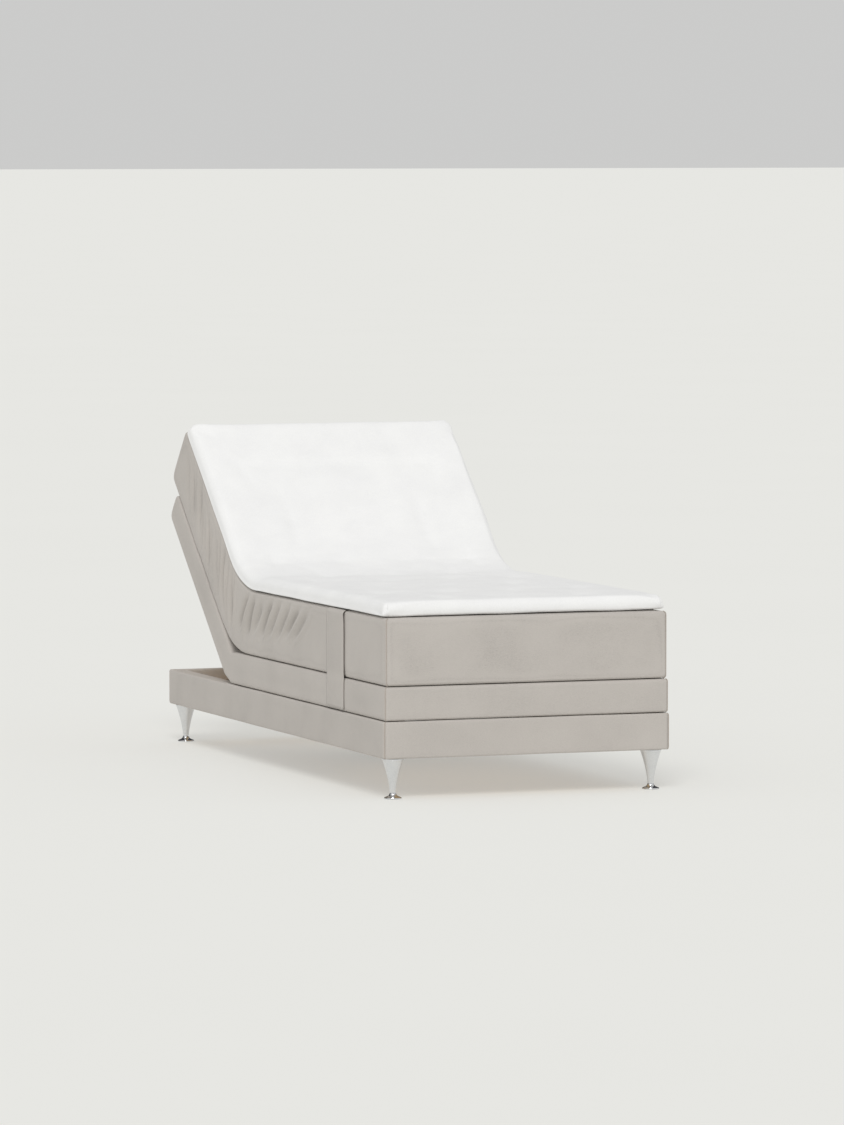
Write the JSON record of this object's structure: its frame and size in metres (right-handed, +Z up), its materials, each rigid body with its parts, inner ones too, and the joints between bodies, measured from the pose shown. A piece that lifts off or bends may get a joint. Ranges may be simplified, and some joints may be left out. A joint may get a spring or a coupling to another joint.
{
  "type": "adjustable bed base",
  "caption": "Upholstered adjustable bed on chrome legs, with hinged sections under a mattress and topper, back raised.",
  "frame": {"origin": "on the floor under the middle of the bed", "axes": "+Y towards the head end, +X to the right when seen from the foot end, +Z up"},
  "size_m": [0.9, 2, 1.0242],
  "materials": {
    "bed_cloth": "warm grey-beige woven upholstery cloth",
    "topper_cloth": "white quilted knit topper cover",
    "timber": "birch plywood, clear matt lacquer",
    "chrome": "polished chrome plate",
    "painted_steel": "black powder coat",
    "zinc_steel": "bright zinc plate",
    "nylon": "natural nylon",
    "housing_plastic": "dark moulded plastic"
  },
  "bodies": {
    "base": {"side_rail_left": "bed_cloth", "side_rail_right": "bed_cloth", "foot_rail": "bed_cloth", "foot_cross_beam": "timber", "head_rail": "bed_cloth", "head_cross_beam": "timber", "leg_foot_left": "chrome", "leg_foot_right": "chrome", "leg_head_left": "chrome", "leg_head_right": "chrome", "seat_deck": "timber", "seat_pad": "bed_cloth", "seat_mattress": "bed_cloth", "seat_topper": "topper_cloth", "seat_hinge_plate_left": "painted_steel", "seat_hinge_plate_right": "painted_steel", "back_hinge_pin_left": "zinc_steel", "back_hinge_pin_right": "zinc_steel", "thigh_hinge_pin_left": "zinc_steel", "thigh_hinge_pin_right": "zinc_steel", "head_bearing_left": "painted_steel", "head_bearing_right": "painted_steel", "foot_bearing_left": "painted_steel", "foot_bearing_right": "painted_steel", "head_drive": "housing_plastic", "foot_drive": "housing_plastic", "control_box": "housing_plastic"},
    "back": {"back_deck": "timber", "back_pad": "bed_cloth", "back_mattress": "bed_cloth", "back_topper": "topper_cloth", "back_hinge_plate_left": "painted_steel", "back_hinge_plate_right": "painted_steel"},
    "thigh": {"thigh_deck": "timber", "thigh_pad": "bed_cloth", "thigh_mattress": "bed_cloth", "thigh_topper": "topper_cloth", "thigh_hinge_plate_left": "painted_steel", "thigh_hinge_plate_right": "painted_steel", "knee_hinge_pin_left": "zinc_steel", "knee_hinge_pin_right": "zinc_steel"},
    "calf": {"calf_deck": "timber", "calf_pad": "bed_cloth", "calf_mattress": "bed_cloth", "calf_topper": "topper_cloth", "calf_hinge_plate_left": "painted_steel", "calf_hinge_plate_right": "painted_steel", "strap_left": "bed_cloth", "strap_right": "bed_cloth"},
    "head_lift": {"head_lift_frame": "painted_steel", "head_glide_left": "nylon", "head_glide_right": "nylon"},
    "foot_lift": {"foot_lift_frame": "painted_steel", "foot_glide_left": "nylon", "foot_glide_right": "nylon"},
    "head_push": {"head_push_rod": "zinc_steel"},
    "foot_push": {"foot_push_rod": "zinc_steel"},
    "calf_stay_l": {"calf_stay_left": "painted_steel"},
    "calf_stay_r": {"calf_stay_right": "painted_steel"}
  },
  "joints": [
    {"name": "back_lift", "type": "hinge", "parent": "base", "child": "back", "pos_m": [0, 0.4, 0.32], "axis": [1, 0, 0], "range_deg": [-41, 19]},
    {"name": "head_lift_turn", "type": "hinge", "parent": "base", "child": "head_lift", "pos_m": [0, 0.55, 0.185], "axis": [1, 0, 0], "range_deg": [-47.83, 22.17]},
    {"name": "head_push_travel", "type": "slide", "parent": "base", "child": "head_push", "axis": [0, 1, 0], "range_m": [-0.04312, 0.01998]},
    {"name": "thigh_lift", "type": "hinge", "parent": "base", "child": "thigh", "pos_m": [0, 0.1, 0.3], "axis": [-1, 0, 0], "range_deg": [0, 30]},
    {"name": "calf_fold", "type": "hinge", "parent": "thigh", "child": "calf", "pos_m": [0, -0.3, 0.2175], "axis": [-1, 0, 0], "range_deg": [-30, 0]},
    {"name": "foot_lift_turn", "type": "hinge", "parent": "base", "child": "foot_lift", "pos_m": [0, -0.05, 0.185], "axis": [-1, 0, 0], "range_deg": [0, 45]},
    {"name": "foot_push_travel", "type": "slide", "parent": "base", "child": "foot_push", "axis": [0, -1, 0], "range_m": [0, 0.0421]},
    {"name": "calf_stay_left_turn", "type": "hinge", "parent": "base", "child": "calf_stay_l", "pos_m": [-0.383, -0.16, 0.2175], "axis": [-1, 0, 0], "range_deg": [0, 30]},
    {"name": "calf_stay_right_turn", "type": "hinge", "parent": "base", "child": "calf_stay_r", "pos_m": [0.383, -0.16, 0.2175], "axis": [-1, 0, 0], "range_deg": [0, 30]}
  ],
  "couplings": [
    {"joint": "head_lift_turn", "follows": "back_lift", "ratio": 1.1667},
    {"joint": "head_push_travel", "follows": "back_lift", "m_per_rad": 0.06025},
    {"joint": "calf_fold", "follows": "thigh_lift", "ratio": -1},
    {"joint": "foot_lift_turn", "follows": "thigh_lift", "ratio": 1.5},
    {"joint": "foot_push_travel", "follows": "thigh_lift", "m_per_rad": 0.080396},
    {"joint": "calf_stay_left_turn", "follows": "thigh_lift", "ratio": 1},
    {"joint": "calf_stay_right_turn", "follows": "thigh_lift", "ratio": 1}
  ]
}
